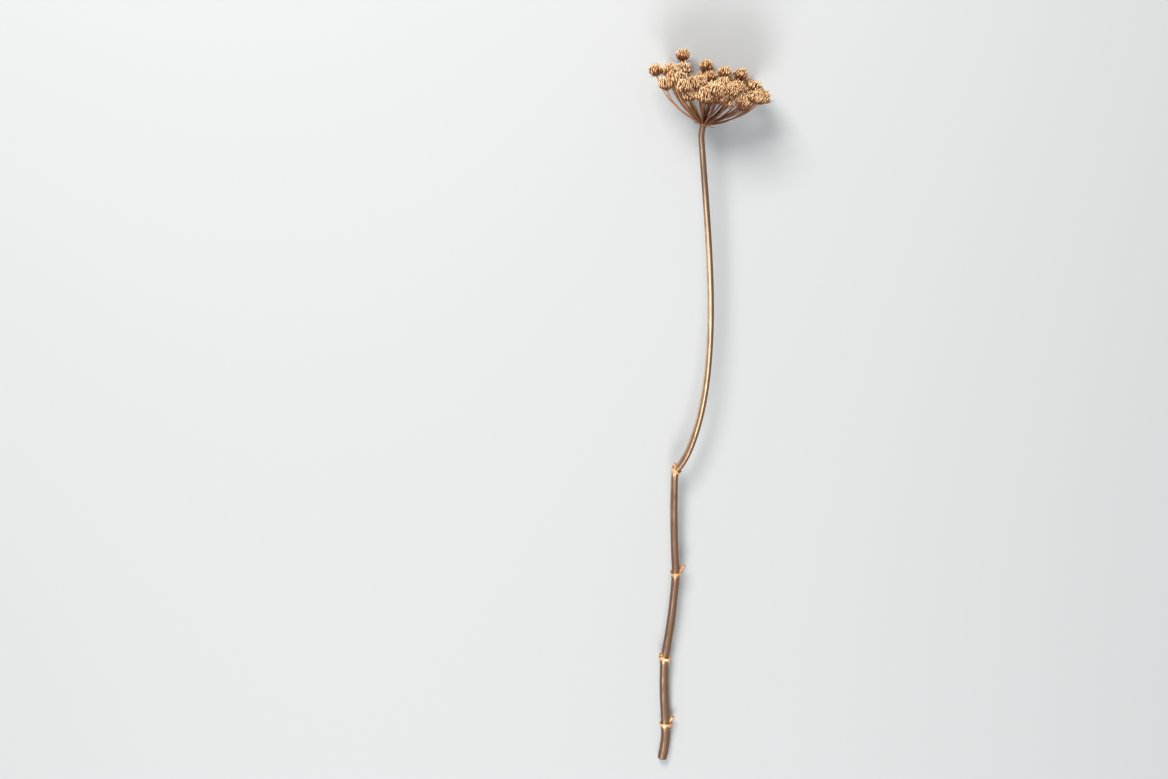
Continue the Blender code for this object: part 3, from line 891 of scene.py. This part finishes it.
BRACT_COUNT, BRACT_TURN, BRACT_PAINT = 7, 0.3, 0.4
BRACT_LENGTH, BRACT_SHORTEST = 9.0 * MM, 0.65
BRACT_PULL, BRACT_BEND, BRACT_DROOP, BRACT_END = 0.3, 0.55, 0.12, 0.95
BRACT_OUT, BRACT_SUNK = 2.8 * MM, 0.8 * MM
BRACT_ROWS, BRACT_SIDES, BRACT_TAPER = 12, 5, 0.6
BRACT_WAVER, BRACT_WAVER_SIZE = 0.35 * MM, 4.0 * MM
BRACT_RADII = np.array([0.42, 0.3, 0.28]) * MM
FORKS = ((5, 1.0), (7, -1.0))
FORK_OUT, FORK_SIDE, FORK_UP, FORK_LENGTH = 0.9, 0.45, 0.1, 0.38


def bract_rings():
    """A bent thread for each bract, and two forks that leave it at its sixth and eighth rings."""
    index = np.arange(BRACT_COUNT)
    out = head_spokes(2.0 * math.pi * (index + BRACT_TURN) / BRACT_COUNT)
    side = np.cross(out, head_axis)
    start = HUB + out * BRACT_OUT - head_axis * BRACT_SUNK
    shorter = (1.0 - BRACT_SHORTEST) * ((index * 3) % BRACT_COUNT) / BRACT_COUNT
    length = (BRACT_LENGTH * (1.0 - shorter))[:, None]
    first = start + out * BRACT_PULL * length
    bend = start + out * BRACT_BEND * length - head_axis * BRACT_DROOP * length
    end = start + out * BRACT_END * length
    t = np.linspace(0.0, 1.0, BRACT_ROWS)
    line = bezier(start[:, None], first[:, None], bend[:, None], end[:, None], t)
    waver = BRACT_WAVER * ripple(line, BRACT_WAVER_SIZE, seed=61)[..., None]
    lines = [line + waver * t[:, None]]
    for here, sign in FORKS:
        root = lines[0][:, here][:, None]
        way = (out * FORK_OUT + side * FORK_SIDE * sign + head_axis * FORK_UP)[:, None]
        lines.append(root + way * (FORK_LENGTH * length)[:, None] * t[:, None])
    line = np.concatenate(lines)
    thick = np.repeat(BRACT_RADII, BRACT_COUNT)[:, None, None]
    reach = thick * (1.0 - BRACT_TAPER * t)[:, None]
    reach = np.broadcast_to(reach, (*line.shape[:2], BRACT_SIDES))
    return off_table(carry(line, reach, BRACT_SIDES, hint=head_axis))


skin(
    "bracts",
    bract_rings(),
    {"cover": BRACT_PAINT},
    painted("copper paint on bracts", COPPER, dull=0.36, relief=0.2),
    "umbel",
)


# The studio: a pale matt floor under broad soft lights, and a camera above the lying flower that
# leans over from the head's side.

FLOOR_REACH, FLOOR_GREY, FLOOR_ROUGHNESS = 8.0, (0.4, 0.405, 0.405, 1.0), 0.8
SKY, SKY_STRENGTH = (0.9, 0.94, 1.0, 1.0), 0.48


def floor_sheet():
    """A flat square of floor, sixteen metres on a side."""
    mesh = bpy.data.meshes.new("floor")
    far = FLOOR_REACH
    corners = [(-far, -far, 0.0), (far, -far, 0.0), (far, far, 0.0), (-far, far, 0.0)]
    mesh.from_pydata(corners, [], [(0, 1, 2, 3)])
    material, wires, shader = new_material("pale floor")
    wires.feed(shader, {"Base Color": FLOOR_GREY, "Roughness": FLOOR_ROUGHNESS})
    mesh.materials.append(material)
    floor = bpy.data.objects.new("floor", mesh)
    bpy.context.scene.collection.objects.link(floor)


def softbox(name, place, target, size, power, colour=(1.0, 1.0, 1.0)):
    """A square area light at a place, turned towards a target."""
    light = bpy.data.lights.new(name, "AREA")
    light.size = size
    light.energy = power
    light.color = colour
    lamp = bpy.data.objects.new(name, light)
    bpy.context.scene.collection.objects.link(lamp)
    lamp.location = place
    away = Vector(place) - Vector(target)
    lamp.rotation_euler = away.to_track_quat("Z", "Y").to_euler()


floor_sheet()
softbox(
    "key",
    place=(-0.6, 1.5, 1.7),
    target=(-0.05, 0.05, 0.0),
    size=0.9,
    power=66.0,
    colour=(1.0, 0.98, 0.95),
)
softbox("fill", place=(-0.3, -1.3, 1.8), target=(-0.1, 0.0, 0.0), size=1.2, power=46.0)
world = bpy.data.worlds.new("studio")
world.use_nodes = True
world.node_tree.nodes["Background"].inputs["Color"].default_value = SKY
world.node_tree.nodes["Background"].inputs["Strength"].default_value = SKY_STRENGTH
scene = bpy.context.scene
scene.world = world
scene.view_settings.view_transform = "Standard"

CAMERA_TILT, CAMERA_AWAY = math.radians(12), 2.7
SENSOR_WIDTH, LENS, CLIP_END = 36.0, 92.0, 20.0
PIXELS_WIDE, PIXELS_HIGH = 1168, 779
HUB_PIXEL = (703.7, 123.3)
camera = bpy.data.objects.new("camera", bpy.data.cameras.new("camera"))
scene.collection.objects.link(camera)
camera.data.sensor_width = SENSOR_WIDTH
camera.data.lens = LENS
camera.data.clip_end = CLIP_END
pixels_away = LENS / SENSOR_WIDTH * PIXELS_WIDE
right = (HUB_PIXEL[0] - PIXELS_WIDE / 2) / pixels_away * CAMERA_AWAY
up = (PIXELS_HIGH / 2 - HUB_PIXEL[1]) / pixels_away * CAMERA_AWAY
tilt_cos, tilt_sin = math.cos(CAMERA_TILT), math.sin(CAMERA_TILT)
back = np.array([0.0, tilt_sin, tilt_cos])
over = np.array([0.0, tilt_cos, -tilt_sin])
camera.location = HUB - np.array([right, 0.0, 0.0]) - over * up + back * CAMERA_AWAY
camera.rotation_euler = (-CAMERA_TILT, 0.0, 0.0)
scene.camera = camera
